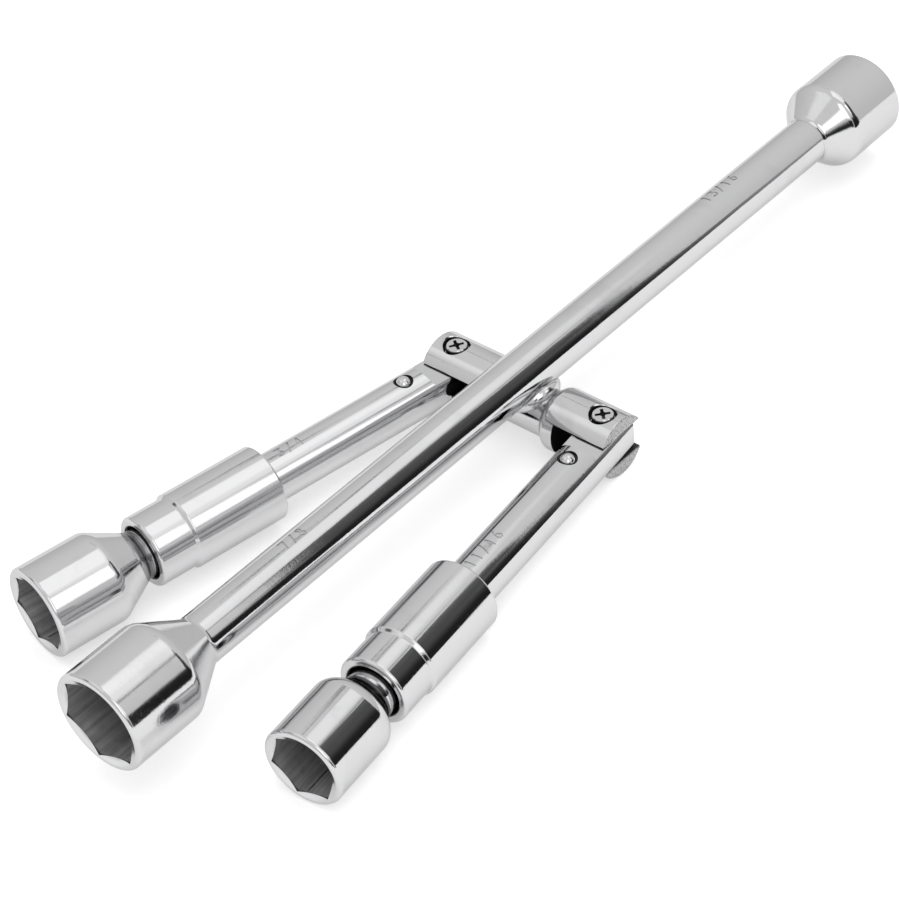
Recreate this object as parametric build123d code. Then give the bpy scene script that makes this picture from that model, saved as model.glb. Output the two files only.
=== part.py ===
from build123d import *
import math
import os

# A folding four-way lug wrench, in millimetres.
# Origin: where the main bar's axis passes over the middle of the crossbar.
# +X runs along the main bar to its 13/16 in. socket, +Y to the 3/4 in. arm, +Z up, away from the crossbar.

# ---- driving dimensions ----
bar_radius = 7.3             # all four bars are the same round stock
near_face = 170.0            # from the origin to the face of the 7/8 in. socket
far_face = 165.5             # from the origin to the face of the 13/16 in. socket
cross_drop = 12.4            # the crossbar's axis lies this far below the main bar's axis
pivot_reach = 26.7           # from the main bar's axis to each pivot, along the crossbar
left_splay = 10.4            # how far each folded arm leans outwards at rest, in degrees
right_splay = 6.57

# sockets: width across flats, outer radius, length, and length of the straight cylinder
near_socket = dict(flats=22.5, radius=14.85, length=36.9, barrel=22.9, phase=19.5)
far_socket = dict(flats=20.9, radius=13.85, length=31.3, barrel=22.0, phase=10.0)
left_socket = dict(flats=19.3, radius=13.55, length=33.6, barrel=21.0, phase=15.5)
right_socket = dict(flats=17.7, radius=12.0, length=28.5, barrel=22.2, phase=13.5)
socket_root_radius = 7.33    # the socket's small end runs into the bar
socket_root_length = 1.2     # straight length before the cone
left_arm_face = 146.2        # from the pivot to the face of the arm's socket
right_arm_face = 144.05

# clevis heads at the ends of the crossbar
head_radius = 9.55
head_start = 9.0             # from the main bar's axis
head_shoulder = 2.3          # length of the sloping shoulder
head_end = 33.1
slot_start = 15.2
slot_half = 4.85
spigot_radius = 5.0
spigot_end = 12.4

# weld bead between the main bar and the crossbar
bead_radius = 3.0
bead_seam_radius = 5.3       # the seam is a nearly round loop of this radius, seen from above
bead_out = 0.7               # the bead's middle lies this far outside the seam

# pivot joint
tongue_half = 4.65
nose_radius = 8.4            # the tongue is forged a little wider round the pivot
flat_radius = 13.9           # the tongue's flats are milled out to this radius about the pivot
nut_barrel_radius = 3.4
running_gap = 0.06
screw_head_radius = 3.25
recess_radius = 4.0
recess_floor = 7.5
screw_head_top = 9.1
thread_radius = 1.95

# ball that holds the sleeve once it covers the clevis
ball_radius = 2.38
left_ball_reach = 19.8       # from the pivot
right_ball_reach = 18.6
ball_height = 5.95           # the ball's centre above the arm's axis
ball_hole_radius = 2.6
ball_lip_radius = 2.33
ball_lip_floor = 6.5
ball_recess_radius = 2.9
ball_recess_floor = 6.7
ball_hole_floor = -2.0
spring_wire_radius = 0.25
spring_coil_radius = 1.7
spring_turns = 5

# locking sleeve
sleeve_length = 41.6
sleeve_large = 29.0          # length of the large outside diameter, towards the clevis
sleeve_step = 1.0            # length of the slope down to the small diameter
sleeve_large_radius = 11.35
sleeve_small_radius = 10.6
sleeve_wide_bore = 9.9       # passes over the clevis
sleeve_wide_depth = 27.0
sleeve_guide_bore = 7.85     # slides on the arm
groove_radius = 8.5          # the ball springs into this groove
groove_from_rear = 38.1
groove_width = 3.2
left_sleeve_rear = 70.3      # from the pivot to the sleeve's rear face at rest
right_sleeve_rear = 71.5

# stamped size marks: each character is one or more strokes on a grid 2 wide and 4 high
mark_height = 3.2
mark_stroke = 0.55
mark_pitch = 3.2
mark_depth = 0.2
strokes = {
    "1": [[(0.3, 3.2), (1, 4), (1, 0)]],
    "3": [[(0, 4), (2, 4), (1, 2.4), (2, 1.6), (2, 0.5), (1.4, 0), (0, 0.2)]],
    "4": [[(1.6, 0), (1.6, 4), (0, 1.2), (2.1, 1.2)]],
    "6": [[(1.6, 4), (0.4, 2.6), (0, 1), (0.5, 0), (1.5, 0), (2, 1), (1.5, 2), (0.3, 1.9)]],
    "7": [[(0, 4), (2, 4), (0.7, 0)]],
    "8": [[(1, 2.1), (0.2, 3), (0.5, 3.9), (1.5, 3.9), (1.8, 3), (1, 2.1)],
          [(1, 2.1), (0, 1), (0.4, 0), (1.6, 0), (2, 1), (1, 2.1)]],
    "/": [[(0.1, -0.3), (1.9, 4.3)]],
}


def spun(face):
    """A full turn of an outline about the X axis."""
    return revolve(face, axis=Axis.X)


def outline(points):
    return make_face(Polyline(*points, close=True))


def rounded(face, corner, radius):
    """Round the outline's corner that lies nearest to the point."""
    nearest = face.vertices().sort_by_distance(Vector(*corner))[0]
    return fillet(nearest, radius)


def rod(radius, start, end):
    """A cylinder along X."""
    return Pos(start, 0, 0) * extrude(Plane.YZ * Circle(radius), end - start)


def upright(radius, low, high):
    """A cylinder along Z."""
    return Pos(0, 0, low) * extrude(Circle(radius), high - low)


def hexagon(flats, phase):
    return Plane.YZ * RegularPolygon(flats / 2, 6, major_radius=False, rotation=phase)


def socket(flats, radius, length, barrel, phase):
    """A socket along +X: the bar joins at x = 0 and the nut goes in at x = length."""
    shoulder = length - barrel
    root = socket_root_radius
    flank = (socket_root_length, root)
    face = outline([(0, 0), (0, root), flank, (shoulder, radius), (length, radius), (length, 0)])
    face = rounded(face, (shoulder, radius), 5.0)
    face = rounded(face, flank, 2.5)
    face = rounded(face, (length, radius), 1.1)
    depth = barrel - 2.0
    floor = length - depth
    corner = flats / math.sqrt(3)
    mouth = hexagon(flats, phase)
    reliefs = [Pos(v.center() * (1 - 0.35 / corner)) * Plane.YZ * Circle(0.55) for v in mouth.vertices()]
    pocket = Pos(floor, 0, 0) * extrude(mouth + reliefs, depth + 1)
    drill = spun(outline([(floor - 4.5, 0), (floor, flats / 2 - 1), (floor + 1, 0)]))
    inner = flats / 2 - 0.4
    outer = corner + 0.2
    slope = (outer - inner) * 0.45
    lead = spun(outline([(length - slope, 0), (length - slope, inner), (length, outer), (length + 1, outer),
                         (length + 1, 0)]))
    return spun(face) - pocket - drill - lead


def mark(text, place, turn, lean):
    """The solid that a size mark takes out of a bar along X, on its upper side.
    turn is 180 where the text reads towards -X, and lean rolls it round the bar, in degrees."""
    scale = mark_height / 4
    pieces = []
    for count, character in enumerate(text):
        left = (count - len(text) / 2) * mark_pitch + (mark_pitch - 2 * scale) / 2
        for stroke in strokes[character]:
            points = [Vector(left + x * scale, (y - 2) * scale) for x, y in stroke]
            pieces += [Pos(point) * Circle(mark_stroke / 2) for point in points]
            for start, end in zip(points, points[1:]):
                run = end - start
                angle = math.degrees(math.atan2(run.Y, run.X))
                pieces.append(Pos((start + end) / 2) * Rot(0, 0, angle) * Rectangle(run.length, mark_stroke))
    tool = extrude(Sketch() + pieces, bar_radius + 2)
    skin = rod(bar_radius + 1, -20, 20) - rod(bar_radius - mark_depth, -20, 20)
    return Pos(place, 0, 0) * Rot(lean, 0, 0) * (skin & (Rot(0, 0, turn) * tool))


def main_bar():
    near_end = -near_face + near_socket["length"]
    far_end = far_face - far_socket["length"]
    bar = rod(bar_radius, near_end, far_end)
    return bar - mark("7/8", -96.0, 0, -5.5) - mark("13/16", 92.0, 0, -10.0)


def clevis():
    """A clevis head along +X, measured from the main bar's axis."""
    shoulder_end = head_start + head_shoulder
    face = outline([(head_start, 0), (head_start, bar_radius), (shoulder_end, head_radius),
                    (head_end, head_radius), (head_end, 0)])
    face = rounded(face, (shoulder_end, head_radius), 2.0)
    face = rounded(face, (head_end, head_radius), 0.4)
    slot = Box(head_end, 4 * head_radius, 2 * slot_half, align=(Align.MIN, Align.CENTER, Align.CENTER))
    head = spun(face) - Pos(slot_start, 0, 0) * slot
    inner_edges = [e for e in head.edges() if abs(abs(e.center().Z) - slot_half) < 0.01
                   and e.center().X > slot_start + 1]
    head = chamfer(inner_edges, 0.3)
    head -= rod(spigot_radius + running_gap, head_start, spigot_end + 0.1)
    hole = upright(nut_barrel_radius + running_gap, -head_radius, head_radius)
    recess = upright(recess_radius, recess_floor, head_radius + 1)
    head -= Pos(pivot_reach, 0, 0) * (hole + recess + mirror(recess, Plane.XY))
    lips = [e for e in head.edges() if abs(e.length - 2 * math.pi * recess_radius) < 1.5
            and abs(e.bounding_box().center().X - pivot_reach) < 0.1 and e.bounding_box().size.Z > 0.3]
    return chamfer(lips, 0.25)


def crossbar():
    """The short bar under the main bar, along X, with its saddle and a spigot for each clevis head."""
    bar = rod(bar_radius, -head_start, head_start)
    spigots = rod(spigot_radius, -spigot_end, spigot_end)
    saddle = Pos(0, 0, cross_drop) * Rot(0, 0, 90) * rod(bar_radius, -40, 40)
    return (bar + spigots) - saddle


def weld_bead():
    """One side of the weld between the two bars, along +X of the crossbar: a fat bead laid in their seam."""
    bar = rod(bar_radius, -30, 30)
    over = Pos(0, 0, cross_drop) * Rot(0, 0, 90) * rod(bar_radius, -30, 30)
    middle = cross_drop / 2
    seam = []
    for step in range(-14, 15):
        angle = math.radians(step * 7.5)
        # the seam's height at this angle, where the two round bars meet
        tilt = math.cos(2 * angle) * bead_seam_radius ** 2 / (2 * cross_drop)
        reach = bead_seam_radius + bead_out
        seam.append((math.cos(angle) * reach, math.sin(angle) * reach, middle + tilt))
    path = Spline(*seam)
    bead = sweep(Plane(origin=path @ 0, z_dir=path % 0) * Circle(bead_radius), path=path)
    side = Box(head_start, 40, 40, align=(Align.MIN, Align.CENTER, Align.CENTER))
    return (bead & side) - bar - over


def arm_bar(face_reach, socket_length, ball_reach, text, place):
    """An arm along +X from its pivot at the origin."""
    bar = rod(bar_radius, -nose_radius, face_reach - socket_length)
    nose = upright(nose_radius, -bar_radius, bar_radius)
    keep = nose + Pos(0, 0, -bar_radius) * Box(face_reach, 4 * bar_radius, 2 * bar_radius,
                                              align=(Align.MIN, Align.CENTER, Align.MIN))
    flats = upright(flat_radius, tongue_half, 2 * bar_radius)
    bar = (bar & keep) - flats - mirror(flats, Plane.XY)
    bar -= upright(nut_barrel_radius + running_gap, -bar_radius, bar_radius)
    hole = upright(ball_lip_radius, ball_hole_floor, 2 * bar_radius)
    hole += upright(ball_hole_radius, ball_hole_floor, ball_lip_floor)
    hole += upright(ball_recess_radius, ball_recess_floor, 2 * bar_radius)
    return bar - Pos(ball_reach, 0, 0) * hole - mark(text, place, 180, 0)


def sleeve():
    """A locking sleeve along +X from its rear face, which is the end towards the clevis."""
    small_start = sleeve_large + sleeve_step
    face = outline([(0, sleeve_wide_bore), (0, sleeve_large_radius), (sleeve_large, sleeve_large_radius),
                    (small_start, sleeve_small_radius), (sleeve_length, sleeve_small_radius),
                    (sleeve_length, sleeve_guide_bore), (sleeve_wide_depth, sleeve_guide_bore),
                    (sleeve_wide_depth, sleeve_wide_bore)])
    face = rounded(face, (0, sleeve_large_radius), 0.6)
    face = rounded(face, (0, sleeve_wide_bore), 0.5)
    face = rounded(face, (sleeve_large, sleeve_large_radius), 0.8)
    face = rounded(face, (small_start, sleeve_small_radius), 0.5)
    face = rounded(face, (sleeve_length, sleeve_small_radius), 1.1)
    face = rounded(face, (sleeve_length, sleeve_guide_bore), 1.0)
    start = groove_from_rear - groove_width / 2
    groove = rod(groove_radius, start, start + groove_width)
    return spun(face) - groove


def pivot_screw():
    """A cross-slot screw, head up, with its shank along the pivot axis."""
    head = upright(screw_head_radius, recess_floor, screw_head_top)
    rim = head.edges().filter_by(GeomType.CIRCLE).sort_by(Axis.Z)[-1]
    head = chamfer(rim, 0.35)
    shank = upright(thread_radius, -3.5, recess_floor)
    wing = Pos(0, 0, screw_head_top) * Box(4.4, 0.95, 2.4)
    point = Pos(0, 0, screw_head_top) * Box(1.9, 1.9, 3.0)
    return head + shank - wing - Rot(0, 0, 90) * wing - Rot(0, 0, 45) * point


def pivot_nut():
    """The barrel nut that the screw threads into; the arm's tongue turns on its barrel."""
    head = upright(screw_head_radius, -screw_head_top, -recess_floor)
    rim = head.edges().filter_by(GeomType.CIRCLE).sort_by(Axis.Z)[0]
    head = chamfer(rim, 0.35)
    barrel = upright(nut_barrel_radius, -recess_floor, recess_floor - 0.1)
    return head + barrel - upright(thread_radius + running_gap, -5, recess_floor + 1)


def detent_ball(ball_reach):
    return Pos(ball_reach, 0, ball_height) * Sphere(ball_radius)


def detent_spring(ball_reach):
    """A small coil spring standing in the ball's hole, under the ball."""
    top = ball_height - ball_radius - 0.1
    height = top - ball_hole_floor - 2 * spring_wire_radius - 0.1
    coil = Helix(pitch=height / spring_turns, height=height, radius=spring_coil_radius)
    wire = Plane(origin=coil @ 0, z_dir=coil % 0) * Circle(spring_wire_radius)
    return Pos(ball_reach, 0, ball_hole_floor + spring_wire_radius + 0.05) * sweep(wire, path=coil)


def on_main_bar(part, face_reach, length):
    """Put a socket on the main bar with its face at face_reach, which is negative for the near end."""
    turn = 0 if face_reach > 0 else 180
    start = face_reach - math.copysign(length, face_reach)
    return Pos(start, 0, 0) * Rot(0, 0, turn) * part


def on_crossbar(part, side):
    return Pos(0, 0, -cross_drop) * Rot(0, 0, 90 * side) * part


def at_pivot(part, side):
    return Pos(0, side * pivot_reach, -cross_drop) * part


def on_arm(part, side):
    splay = left_splay if side > 0 else right_splay
    return at_pivot(Rot(0, 0, 180 - side * splay) * part, side)


nodes = {
    "main_bar": main_bar(),
    "main_socket_near": on_main_bar(socket(**near_socket), -near_face, near_socket["length"]),
    "main_socket_far": on_main_bar(socket(**far_socket), far_face, far_socket["length"]),
    "crossbar": on_crossbar(crossbar(), 1),
}
arms = {
    "left": dict(side=1, face=left_arm_face, socket=left_socket, rear=left_sleeve_rear,
                 ball=left_ball_reach, text="3/4", place=60.7, screw_turn=-33),
    "right": dict(side=-1, face=right_arm_face, socket=right_socket, rear=right_sleeve_rear,
                  ball=right_ball_reach, text="11/16", place=60.5, screw_turn=-42),
}
for name, arm in arms.items():
    side = arm["side"]
    length = arm["socket"]["length"]
    bar = arm_bar(arm["face"], length, arm["ball"], arm["text"], arm["place"])
    nodes["weld_bead_" + name] = on_crossbar(weld_bead(), side)
    nodes["clevis_" + name] = on_crossbar(clevis(), side)
    nodes["pivot_screw_" + name] = at_pivot(Rot(0, 0, arm["screw_turn"]) * pivot_screw(), side)
    nodes["pivot_nut_" + name] = at_pivot(pivot_nut(), side)
    nodes["arm_bar_" + name] = on_arm(bar, side)
    nodes["arm_socket_" + name] = on_arm(Pos(arm["face"] - length, 0, 0) * socket(**arm["socket"]), side)
    nodes["detent_ball_" + name] = on_arm(detent_ball(arm["ball"]), side)
    nodes["detent_spring_" + name] = on_arm(detent_spring(arm["ball"]), side)
    nodes["lock_sleeve_" + name] = on_arm(Pos(arm["rear"], 0, 0) * sleeve(), side)

os.makedirs("parts", exist_ok=True)
for node, shape in nodes.items():
    export_step(shape, "parts/" + node + ".step")
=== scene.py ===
import math

import bpy
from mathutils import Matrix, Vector


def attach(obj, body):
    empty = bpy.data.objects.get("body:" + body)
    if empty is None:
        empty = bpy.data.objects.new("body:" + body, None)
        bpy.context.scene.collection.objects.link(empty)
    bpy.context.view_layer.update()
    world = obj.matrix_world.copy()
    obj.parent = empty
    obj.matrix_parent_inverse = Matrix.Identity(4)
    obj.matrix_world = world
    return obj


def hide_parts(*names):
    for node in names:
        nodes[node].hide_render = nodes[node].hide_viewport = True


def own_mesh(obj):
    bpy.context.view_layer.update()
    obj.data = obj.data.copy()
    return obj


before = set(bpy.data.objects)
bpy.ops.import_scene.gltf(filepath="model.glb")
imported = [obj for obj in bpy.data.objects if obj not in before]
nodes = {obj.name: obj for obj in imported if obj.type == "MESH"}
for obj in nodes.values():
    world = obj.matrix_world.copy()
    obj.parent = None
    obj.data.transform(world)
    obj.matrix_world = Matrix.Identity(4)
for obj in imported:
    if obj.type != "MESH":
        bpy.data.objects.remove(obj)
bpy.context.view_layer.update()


# ---- small helpers for node trees ----
class Graph:
    """Builds one node tree: every method adds a node and gives back its output socket."""

    def __init__(self, tree):
        self.tree = tree
        tree.nodes.clear()

    def add(self, kind, inputs=None, **settings):
        node = self.tree.nodes.new(kind)
        for key, value in settings.items():
            setattr(node, key, value)
        for key, value in (inputs or {}).items():
            self.put(node.inputs[key], value)
        return node

    def put(self, socket, value):
        if isinstance(value, bpy.types.NodeSocket):
            self.tree.links.new(value, socket)
        else:
            socket.default_value = value

    def math(self, operation, a, b=0.0, c=0.0, clamp=False):
        return self.add("ShaderNodeMath", {0: a, 1: b, 2: c}, operation=operation, use_clamp=clamp).outputs[0]

    def vector(self, operation, a, b=(0, 0, 0)):
        node = self.add("ShaderNodeVectorMath", {0: a, 1: b}, operation=operation)
        return node.outputs["Value" if operation == "LENGTH" else "Vector"]

    def scaled(self, a, factors):
        return self.vector("MULTIPLY", a, factors)

    def noise(self, vector, scale, detail=2.0, roughness=0.5, distortion=0.0):
        node = self.add("ShaderNodeTexNoise", {"Vector": vector, "Scale": scale, "Detail": detail,
                                               "Roughness": roughness, "Distortion": distortion})
        return node.outputs["Fac"]

    def steps(self, value, low, high, start=0.0, end=1.0):
        """Smoothly from start to end as the value goes from low to high."""
        return self.add("ShaderNodeMapRange", {"Value": value, "From Min": low, "From Max": high,
                                               "To Min": start, "To Max": end},
                        interpolation_type="SMOOTHSTEP").outputs[0]

    def mix(self, factor, a, b):
        return self.math("ADD", self.math("MULTIPLY", a, self.math("SUBTRACT", 1.0, factor)),
                         self.math("MULTIPLY", b, factor))

    def grey(self, value, warm=1.0):
        blue = self.math("MULTIPLY", value, warm)
        return self.add("ShaderNodeCombineColor", {0: value, 1: value, 2: blue}).outputs[0]


def finish_material(name, build):
    material = bpy.data.materials.new(name)
    material.use_nodes = True
    graph = Graph(material.node_tree)
    out = graph.add("ShaderNodeOutputMaterial")
    build(graph, out)
    return material


# ---- chrome ----
class Part:
    """Where one chromed part lies: a point on its axis, in metres in the shared frame, and its direction."""

    def __init__(self, origin, axis):
        self.origin = tuple(origin)
        self.angle = math.atan2(axis[1], axis[0])

    def local(self, g, place):
        """The place with its X along the part's axis."""
        offset = g.vector("SUBTRACT", place, self.origin)
        return g.add("ShaderNodeVectorRotate", {"Vector": offset, "Angle": -self.angle},
                     rotation_type="Z_AXIS").outputs[0]


def chrome(name, part, shade=0.58, rough=0.045, wave=0.00014, wave_scale=90.0, pits=1.0, brush=1.0,
           smudge=1.0, peel=1.0, seed=0.0, details=()):
    """Polished chrome plate: a slow ripple from the buffing, lengthwise brushing, haze and sparse pits.
    details are functions that are given the graph, the local place and the values, which they change."""

    def build(g, out):
        place = g.add("ShaderNodeTexCoord").outputs["Object"]
        local = part.local(g, place)
        moved = g.vector("ADD", local, (seed, seed * 0.7, seed * 1.3))
        ripple = g.noise(g.scaled(moved, (0.35, 1, 1)), wave_scale, 1.5, 0.45)
        haze = g.noise(moved, 260.0, 4.0, 0.6)
        cloud = g.noise(moved, 75.0, 3.0, 0.55, 0.6)
        grain = g.noise(g.scaled(moved, (14.0, 2600.0, 2600.0)), 1.0, 3.0, 0.65)
        fine = g.noise(moved, 1300.0, 3.0, 0.75)
        cells = g.add("ShaderNodeTexVoronoi", {"Vector": moved, "Scale": 900.0, "Randomness": 1.0})
        speck = cells.outputs["Distance"]
        chance = g.noise(moved, 420.0, 0.0)
        pit = g.math("MULTIPLY", g.steps(speck, 0.2, 0.06), g.steps(chance, 0.66, 0.74))
        pit = g.math("MULTIPLY", pit, pits)
        dull = g.math("MULTIPLY", g.steps(cloud, 0.52, 0.78), smudge)
        roughness = g.math("ADD", rough, g.math("MULTIPLY", g.steps(haze, 0.5, 0.8), 0.04))
        roughness = g.math("ADD", roughness, g.math("MULTIPLY", pit, 0.15))
        roughness = g.math("ADD", roughness, g.math("MULTIPLY", dull, 0.07))
        roughness = g.math("ADD", roughness, g.math("MULTIPLY", g.steps(grain, 0.5, 0.85), 0.06 * brush))
        value = g.math("SUBTRACT", shade, g.math("MULTIPLY", pit, 0.05))
        value = g.math("SUBTRACT", value, g.math("MULTIPLY", dull, 0.035))
        height = g.math("ADD", g.math("MULTIPLY", ripple, wave), g.math("MULTIPLY", fine, 0.000005 * peel))
        height = g.math("ADD", height, g.math("MULTIPLY", grain, 0.000005 * brush))
        height = g.math("SUBTRACT", height, g.math("MULTIPLY", pit, 0.000004))
        values = {"value": value, "roughness": roughness, "height": height, "metallic": 1.0}
        for detail in details:
            detail(g, local, values)
        bump = g.add("ShaderNodeBump", {"Height": values["height"], "Distance": 1.0, "Strength": 1.0})
        shader = g.add("ShaderNodeBsdfPrincipled", {
            "Base Color": g.grey(values["value"], 1.012), "Metallic": values["metallic"],
            "Specular Tint": (0.72, 0.72, 0.72, 1.0), "Roughness": values["roughness"],
            "Normal": bump.outputs[0]})
        g.put(out.inputs["Surface"], shader.outputs[0])

    return finish_material(name, build)


def blend(g, values, mask, **towards):
    """Move some of the values towards others where the mask is 1."""
    for key, goal in towards.items():
        values[key] = g.mix(mask, values[key], goal)


def polar(g, local):
    """Distance along the axis, and distance from it."""
    parts = g.add("ShaderNodeSeparateXYZ", {0: local}).outputs
    across = g.add("ShaderNodeCombineXYZ", {0: 0.0, 1: parts[1], 2: parts[2]}).outputs[0]
    return parts[0], g.vector("LENGTH", across)


def mouth(face, corner, depth):
    """The bare satin walls of a socket's hexagon, whose face is at a distance along the axis; painted shade
    darkens the walls deeper in.
    """

    def detail(g, local, values):
        along, reach = polar(g, local)
        deep = g.math("SUBTRACT", face, along)
        beyond = g.math("MAXIMUM", g.math("SUBTRACT", deep, depth), 0.0)
        limit = g.math("SUBTRACT", corner + 0.0004, g.math("MULTIPLY", beyond, 3.0))
        mask = g.math("MULTIPLY", g.steps(g.math("SUBTRACT", limit, reach), 0.0, 0.0003),
                      g.steps(deep, 0.0004, 0.0012))
        mask = g.math("MULTIPLY", mask, g.steps(deep, depth + 0.0047, depth + 0.0045))
        streak = g.noise(g.scaled(local, (30.0, 700.0, 700.0)), 1.0, 3.0, 0.55)
        blotch = g.noise(local, 350.0, 3.0, 0.6)
        tone = g.math("MULTIPLY", g.steps(streak, 0.25, 0.8), 0.2)
        tone = g.math("ADD", tone, g.math("MULTIPLY", blotch, 0.16))
        tone = g.math("ADD", tone, 0.14)
        # painted shade: the walls are painted darker the deeper they lie in the socket
        tone = g.math("MULTIPLY", tone, g.steps(deep, 0.0, 0.024, 1.0, 0.62))
        satin = g.math("ADD", 0.3, g.math("MULTIPLY", streak, 0.2))
        score = g.math("MULTIPLY", streak, 0.00002)
        blend(g, values, mask, value=tone, roughness=satin, metallic=0.45, height=score)

    return detail


def engraved(radius, start, end):
    """The stamped size mark: anything lower than the bar's surface between two distances along it."""

    def detail(g, local, values):
        along, reach = polar(g, local)
        within = g.math("MULTIPLY", g.steps(along, start - 0.0001, start), g.steps(along, end + 0.0001, end))
        mask = g.math("MULTIPLY", g.steps(reach, radius - 0.00004, radius - 0.00014), within)
        blend(g, values, mask, value=0.5, roughness=0.2)

    return detail


def recess_shade(centre, radius, low=-1.0):
    """Painted shade in the recess round an upright pin or ball, above a height; centre is its distance along
    the axis.
    """

    def detail(g, local, values):
        parts = g.add("ShaderNodeSeparateXYZ", {0: local}).outputs
        aside = g.math("SUBTRACT", parts[0], centre)
        reach = g.vector("LENGTH", g.add("ShaderNodeCombineXYZ", {0: aside, 1: parts[1], 2: 0.0}).outputs[0])
        above = g.steps(parts[2], low - 0.0001, low)
        mask = g.math("MULTIPLY", g.steps(reach, radius + 0.00006, radius), above)
        # painted shade: the recess walls round the pin or ball are painted near-black
        blend(g, values, mask, value=0.035, roughness=0.5)

    return detail


def slot_shade(start, half):
    """Painted shade on the inside of a clevis slot: near-black and duller."""

    def detail(g, local, values):
        parts = g.add("ShaderNodeSeparateXYZ", {0: local}).outputs
        between = g.steps(g.math("ABSOLUTE", parts[2]), half + 0.00003, half)
        inside = g.math("MULTIPLY", g.steps(parts[0], start - 0.00006, start), between)
        blend(g, values, inside, value=0.05, roughness=0.45)

    return detail


def sawn_end(end):
    """The grainy end faces of the clevis ears."""

    def detail(g, local, values):
        parts = g.add("ShaderNodeSeparateXYZ", {0: local}).outputs
        mask = g.steps(parts[0], end - 0.0003, end - 0.0001)
        saw = g.noise(g.scaled(local, (1.0, 1500.0, 2600.0)), 1.0, 4.0, 0.75)
        blend(g, values, mask, roughness=0.24, height=g.math("MULTIPLY", saw, 0.00016),
              value=g.math("ADD", 0.22, g.math("MULTIPLY", g.steps(saw, 0.35, 0.65), 0.34)))

    return detail


def bore(rear, wide_end, wide, narrow):
    """Painted shade inside a sleeve: a wide bore from its rear face to wide_end, then a narrow one."""

    def detail(g, local, values):
        along, reach = polar(g, local)
        size = g.steps(along, rear + wide_end + 0.0003, rear + wide_end + 0.0004, wide, narrow)
        mask = g.steps(g.math("SUBTRACT", reach, size), 0.00015, -0.00005)
        blend(g, values, mask, value=0.06, roughness=0.4)

    return detail


def shaded(start, end, tone):
    """Painted shade in a corner: darker, duller plate up to start along the axis, fading out by end."""

    def detail(g, local, values):
        along, reach = polar(g, local)
        mask = g.steps(along, end, start)
        blend(g, values, mask, value=tone, roughness=0.16)

    return detail


def ridges(pitch, rise):
    """The overlapping rings that a weld leaves, square to the axis."""

    def detail(g, local, values):
        wander = g.math("MULTIPLY", g.noise(local, 100.0, 1.0), pitch * 0.5)
        along = g.math("ADD", g.add("ShaderNodeSeparateXYZ", {0: local}).outputs[0], wander)
        ring = g.math("ABSOLUTE", g.math("SINE", g.math("MULTIPLY", along, math.pi / pitch)))
        values["height"] = g.math("ADD", values["height"], g.math("MULTIPLY", ring, rise))

    return detail


def cross_slot_shade(top):
    """Painted shade on the screw below its head's top, which darkens the cross recess."""

    def detail(g, local, values):
        parts = g.add("ShaderNodeSeparateXYZ", {0: local}).outputs
        mask = g.steps(parts[2], top - 0.0001, top - 0.0002)
        blend(g, values, mask, value=0.09, roughness=0.4)

    return detail


def dress(node, material):
    mesh = nodes[node].data
    mesh.materials.clear()
    mesh.materials.append(material)


def pressed_spring(name, material):
    """The detent spring: a copy of the CAD coil, carried by its arm, which takes the CAD node's place."""
    node, joint = "detent_spring_" + name, name + "_ball_press"
    coil = bpy.data.objects.new("pressed_spring_" + name, nodes[node].data.copy())
    bpy.context.scene.collection.objects.link(coil)
    coil.data.materials.clear()
    coil.data.materials.append(material)
    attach(coil, name + "_arm")
    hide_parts(node)
    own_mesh(coil)


def arm_axis(name):
    angle = math.pi - side_of[name] * splay[name]
    return Vector((math.cos(angle), math.sin(angle), 0))


# where things are on the model: angles, and distances in metres along each part's axis
splay = {"left": math.radians(10.4), "right": math.radians(6.57)}
side_of = {"left": 1, "right": -1}
drop = -0.0124                        # height of the crossbar's and the arms' axes
pivot_reach = 0.0267                  # from the main bar's axis to each pivot
pivot = {name: Vector((0, side * pivot_reach, drop)) for name, side in side_of.items()}
bar_radius = 0.0073
near_hex = dict(face=0.170, corner=0.0225 / math.sqrt(3), depth=0.0209)
far_hex = dict(face=0.1655, corner=0.0209 / math.sqrt(3), depth=0.0200)
arm_hexes = {"left": dict(face=0.1462, corner=0.0193 / math.sqrt(3), depth=0.0190),
             "right": dict(face=0.14405, corner=0.0177 / math.sqrt(3), depth=0.0202)}
socket_lengths = {"left": 0.0336, "right": 0.0285}
# how dark the painted shade on each socket's neck is
neck_shade_tones = {"left": 0.24, "right": 0.13}
far_mark, near_mark, arm_mark = (0.08, 0.104), (-0.104, -0.088), (0.045, 0.078)
balls = {"left": 0.0198, "right": 0.0186}
ball_recess_radius = 0.00288
screw_recess_radius, screw_top = 0.00398, 0.0091
slot_start, slot_half, ear_end = 0.0152, 0.00486, 0.0331
sleeve_rears = {"left": 0.0703, "right": 0.0715}
bore_step, wide_bore, narrow_bore = 0.027, 0.0100, 0.0083
weld_ring_pitch, weld_ring_rise = 0.0019, 0.00009

# ---- the main bar and the crossbar ----
bar = Part((0, 0, 0), (1, 0, 0))
near = Part((0, 0, 0), (-1, 0, 0))
under = Part((0, 0, drop), (0, 1, 0))
marks = (engraved(bar_radius, *far_mark), engraved(bar_radius, *near_mark))
dress("main_bar", chrome("bar_chrome_main", bar, seed=0.3, peel=1.6, details=marks))
dress("main_socket_near", chrome("socket_chrome_near", near, seed=1.1, pits=1.2, brush=0.6, peel=3.0,
                                 details=(mouth(**near_hex),)))
dress("main_socket_far", chrome("socket_chrome_far", bar, seed=2.3, brush=0.5,
                                details=(mouth(**far_hex),)))
dress("crossbar", chrome("bar_chrome_cross", under, seed=2.9))


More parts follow.
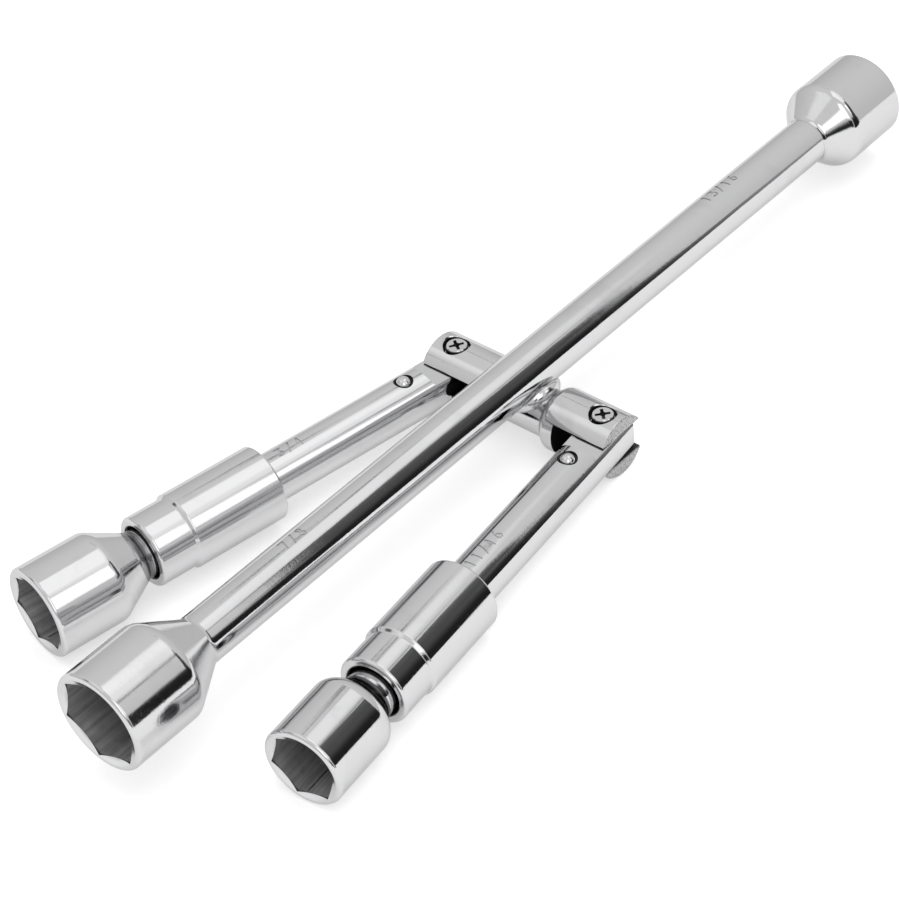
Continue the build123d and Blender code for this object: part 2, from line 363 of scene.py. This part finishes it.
# ---- the clevises and the arms ----
def dress_clevis(name):
    cross = Part((0, 0, drop), (0, side_of[name], 0))
    pin = Part(pivot[name], (1, 0, 0))
    rings = ridges(weld_ring_pitch, weld_ring_rise)
    # painted shade: the screw's recess and the inside of the slot are painted dark
    ears = (recess_shade(pivot_reach, screw_recess_radius), slot_shade(slot_start, slot_half), sawn_end(ear_end))
    dress("weld_bead_" + name, chrome("weld_chrome_" + name, cross, seed=3.1, wave=0.00005, wave_scale=200.0,
                                      rough=0.1, peel=1.5, details=(rings,)))
    dress("clevis_" + name, chrome("clevis_chrome_" + name, cross, seed=4.1, smudge=1.4, details=ears))
    # painted shade in the screw head's cross recess
    dress("pivot_screw_" + name, chrome("screw_" + name, pin, seed=5.1, details=(cross_slot_shade(screw_top),)))
    dress("pivot_nut_" + name, chrome("nut_" + name, pin, seed=5.7))


def dress_arm(name):
    arm = Part(pivot[name], arm_axis(name))
    root = arm_hexes[name]["face"] - socket_lengths[name]
    # painted shade on the socket's neck, near its root
    neck = shaded(root + 0.0005, root + 0.005, neck_shade_tones[name])
    # painted shade round the detent ball's recess
    top = (recess_shade(balls[name], ball_recess_radius, 0.001), engraved(bar_radius, *arm_mark))
    # painted shade inside the sleeve's bore
    inside = bore(sleeve_rears[name], bore_step, wide_bore, narrow_bore)
    dress("arm_bar_" + name, chrome("bar_chrome_" + name, arm, seed=6.1, details=top))
    dress("arm_socket_" + name, chrome("socket_chrome_" + name, arm, seed=7.1, brush=1.6,
                                       details=(mouth(**arm_hexes[name]), neck)))
    dress("detent_ball_" + name, chrome("ball_" + name, arm, seed=8.1, rough=0.03, pits=0.4))
    pressed_spring(name, chrome("spring_" + name, arm, seed=8.3, shade=0.4, rough=0.25))
    dress("lock_sleeve_" + name, chrome("sleeve_chrome_" + name, arm, seed=9.1, brush=1.8, details=(inside,)))


for name in ("left", "right"):
    dress_clevis(name)
    dress_arm(name)


# ---- floor: a plain pale table that the folded wrench lies on ----
def lowest(node, towards):
    """Where a CAD node touches the table: of its lowest vertices, the one furthest towards a direction."""
    points = [v.co for v in nodes[node].data.vertices]
    low = min(p.z for p in points)
    return max((p for p in points if p.z < low + 0.00004), key=lambda p: p.dot(towards))


contacts = [lowest("arm_socket_left", Vector((1, 0, 0))), lowest("arm_socket_right", Vector((1, 0, 0))),
            lowest("clevis_right", Vector((0, -1, 0)))]
up = (contacts[1] - contacts[0]).cross(contacts[2] - contacts[0]).normalized()
if up.z < 0:
    up = -up
level = up.dot(contacts[0]) - 0.00005
floor_radius, floor_sides = 6, 64
rim = []
for k in range(floor_sides):
    angle = k * math.tau / floor_sides
    x, y = math.cos(angle) * floor_radius, math.sin(angle) * floor_radius
    rim.append((x, y, (level - up.x * x - up.y * y) / up.z))
mesh = bpy.data.meshes.new("floor")
mesh.from_pydata(rim, [], [list(range(floor_sides))])
floor = bpy.data.objects.new("floor", mesh)
bpy.context.scene.collection.objects.link(floor)


def floor_build(g, out):
    place = g.add("ShaderNodeTexCoord").outputs["Object"]
    tone = g.math("ADD", 0.58, g.math("MULTIPLY", g.noise(place, 3.0, 2.0), 0.02))
    matt = g.add("ShaderNodeBsdfDiffuse", {"Color": g.grey(tone)}).outputs[0]
    glow = g.add("ShaderNodeEmission", {"Color": (1, 1, 1, 1), "Strength": 0.48}).outputs[0]
    white = g.add("ShaderNodeAddShader", {0: matt, 1: glow}).outputs[0]
    clear = g.add("ShaderNodeBsdfTransparent").outputs[0]
    under = g.add("ShaderNodeNewGeometry").outputs["Backfacing"]
    g.put(out.inputs["Surface"], g.add("ShaderNodeMixShader", {0: under, 1: white, 2: clear}).outputs[0])


floor.data.materials.append(finish_material("floor_white", floor_build))


# ---- studio: a pale room with a large overhead soft box, and a dark card that only the polish sees ----
world = bpy.data.worlds.new("studio")
bpy.context.scene.world = world
world.use_nodes = True
g = Graph(world.node_tree)
direction = g.vector("NORMALIZE", g.add("ShaderNodeTexCoord").outputs["Generated"])
parts = g.add("ShaderNodeSeparateXYZ", {0: direction}).outputs
height = g.math("ARCSINE", parts[2])
turn = g.math("ARCTAN2", parts[1], parts[0])


def patch(under, azimuth, half_width, elevation, half_height, soft, level):
    """A soft-edged rectangle of the sky, in degrees."""
    away = g.math("WRAP", g.math("SUBTRACT", turn, math.radians(azimuth)), math.pi, -math.pi)
    away = g.math("ABSOLUTE", away)
    rise = g.math("ABSOLUTE", g.math("SUBTRACT", height, math.radians(elevation)))
    edge = math.radians(soft)
    wide, tall = math.radians(half_width), math.radians(half_height)
    inside = g.steps(rise, tall + edge, tall - edge)
    return g.mix(g.math("MULTIPLY", g.steps(away, wide + edge, wide - edge), inside), under, level)


def streak(under, start, end, half_width, level):
    """A thin dark line across the sky, between two points given by their azimuth and elevation in degrees."""
    first, last = Vector([math.radians(a) for a in start]), Vector([math.radians(a) for a in end])
    length = (last - first).length
    ahead = (last - first) / length
    x, y = g.math("SUBTRACT", turn, first.x), g.math("SUBTRACT", height, first.y)
    along = g.math("ADD", g.math("MULTIPLY", x, ahead.x), g.math("MULTIPLY", y, ahead.y))
    aside = g.math("SUBTRACT", g.math("MULTIPLY", x, ahead.y), g.math("MULTIPLY", y, ahead.x))
    aside = g.math("ABSOLUTE", aside)
    past = g.math("ABSOLUTE", g.math("SUBTRACT", along, length / 2))
    half = math.radians(half_width)
    inside = g.steps(past, length / 2 + half, length / 2)
    return g.mix(g.math("MULTIPLY", g.steps(aside, half * 1.5, half * 0.5), inside), under, level)


light = g.steps(height, 0.0, math.radians(60), 0.8, 0.95)
light = patch(light, -20, 45, 76, 22.5, 3, 1.28)    # the overhead soft box, brighter in its middle
light = patch(light, -20, 50, 80, 17, 3, 1.5)
light = patch(light, -74, 8, 42, 13, 2, 1.9)        # a strip light by the left arm, with a dark gap below
light = patch(light, -78, 6, 2, 16, 3, 0.45)
light = patch(light, -42, 18, 50, 1.0, 0.8, 0.32)   # the soft box's lower edge
light = patch(light, 127, 7, 32, 8, 2, 0.2)
light = patch(light, 140, 35, 62, 14, 6, 1.2)       # the lights in front, which the far socket's cone shows
light = patch(light, -124, 17, 43, 20, 3, 2.0)
light = patch(light, -112, 12, 10, 8, 2, 0.03)
light = streak(light, (49.0, 43.7), (39.0, 52.4), 0.45, 0.02)
light = streak(light, (38.0, 49.5), (30.0, 53.8), 0.45, 0.02)
shade = g.add("ShaderNodeBackground", {"Color": g.grey(light), "Strength": 1.0})
g.put(g.add("ShaderNodeOutputWorld").inputs["Surface"], shade.outputs[0])


def card(name, place, corners_xz, build):
    """An upright card square to Y at y = place, given by its corners, that only the polish sees."""
    data = bpy.data.meshes.new(name)
    data.from_pydata([(x, place, z) for x, z in corners_xz], [], [list(range(len(corners_xz)))])
    item = bpy.data.objects.new(name, data)
    bpy.context.scene.collection.objects.link(item)
    data.materials.append(finish_material(name, build))
    item.visible_camera = False
    item.visible_diffuse = False
    item.visible_shadow = False


def dark_build(graph, out):
    """The dark card: black low down, grey higher up, thinning out at its lower right end."""
    place = graph.add("ShaderNodeSeparateXYZ", {0: graph.add("ShaderNodeTexCoord").outputs["Object"]}).outputs
    level = graph.steps(place[2], 0.12, 0.42, 0.02, 0.1)
    level = graph.math("ADD", level, graph.steps(place[2], 0.4, 1.1, 0.0, 0.06))
    thin = graph.steps(place[0], 0.48, 0.72, 0.0, 0.5)
    level = graph.math("ADD", level, graph.math("MULTIPLY", thin, graph.steps(place[2], 0.5, 0.3)))
    edge = graph.math("MULTIPLY", graph.steps(place[0], 0.3, 0.2), graph.steps(place[2], 0.22, 0.32))
    glow = graph.add("ShaderNodeEmission", {"Color": graph.grey(level), "Strength": 1.0}).outputs[0]
    clear = graph.add("ShaderNodeBsdfTransparent").outputs[0]
    solid = graph.math("SUBTRACT", 1.0, edge)
    shown = graph.add("ShaderNodeMixShader", {0: solid, 1: clear, 2: glow}).outputs[0]
    graph.put(out.inputs["Surface"], shown)


card("card_dark", -0.6, [(0.08, -0.03), (0.7, -0.03), (0.68, 0.1), (0.57, 0.2), (0.58, 0.38), (0.7, 0.66),
                         (0.97, 1.17), (0.6, 1.17), (0.41, 0.74), (0.27, 0.36), (0.08, 0.36)], dark_build)

lamp = bpy.data.lights.new("soft_top", "AREA")
lamp.shape = "DISK"
lamp.size = 1.6
lamp.energy = 11.0
top_light = bpy.data.objects.new("soft_top", lamp)
top_light.location = (0.15, -0.2, 1.5)
bpy.context.scene.collection.objects.link(top_light)
top_light.visible_camera = False
top_light.visible_glossy = False

# ---- camera ----
position = Vector((-0.47233, -0.42978, 0.52035))
target = Vector((-0.03897, -0.00448, 0.0))
roll = math.radians(-6.0885)
ahead = (target - position).normalized()
right = ahead.cross(Vector((0, 0, 1))).normalized()
rise = right.cross(ahead)
turned = math.cos(roll) * right + math.sin(roll) * rise
upward = -math.sin(roll) * right + math.cos(roll) * rise
camera = bpy.data.objects.new("camera", bpy.data.cameras.new("camera"))
bpy.context.scene.collection.objects.link(camera)
camera.data.sensor_width = 36.0
camera.data.lens = 116.98
camera.data.clip_start = 0.01
camera.data.clip_end = 50.0
matrix = camera.matrix_world.copy()
for row in range(3):
    matrix[row][0] = turned[row]
    matrix[row][1] = upward[row]
    matrix[row][2] = -ahead[row]
    matrix[row][3] = position[row]
camera.matrix_world = matrix
bpy.context.scene.camera = camera
bpy.context.scene.view_settings.view_transform = "Standard"
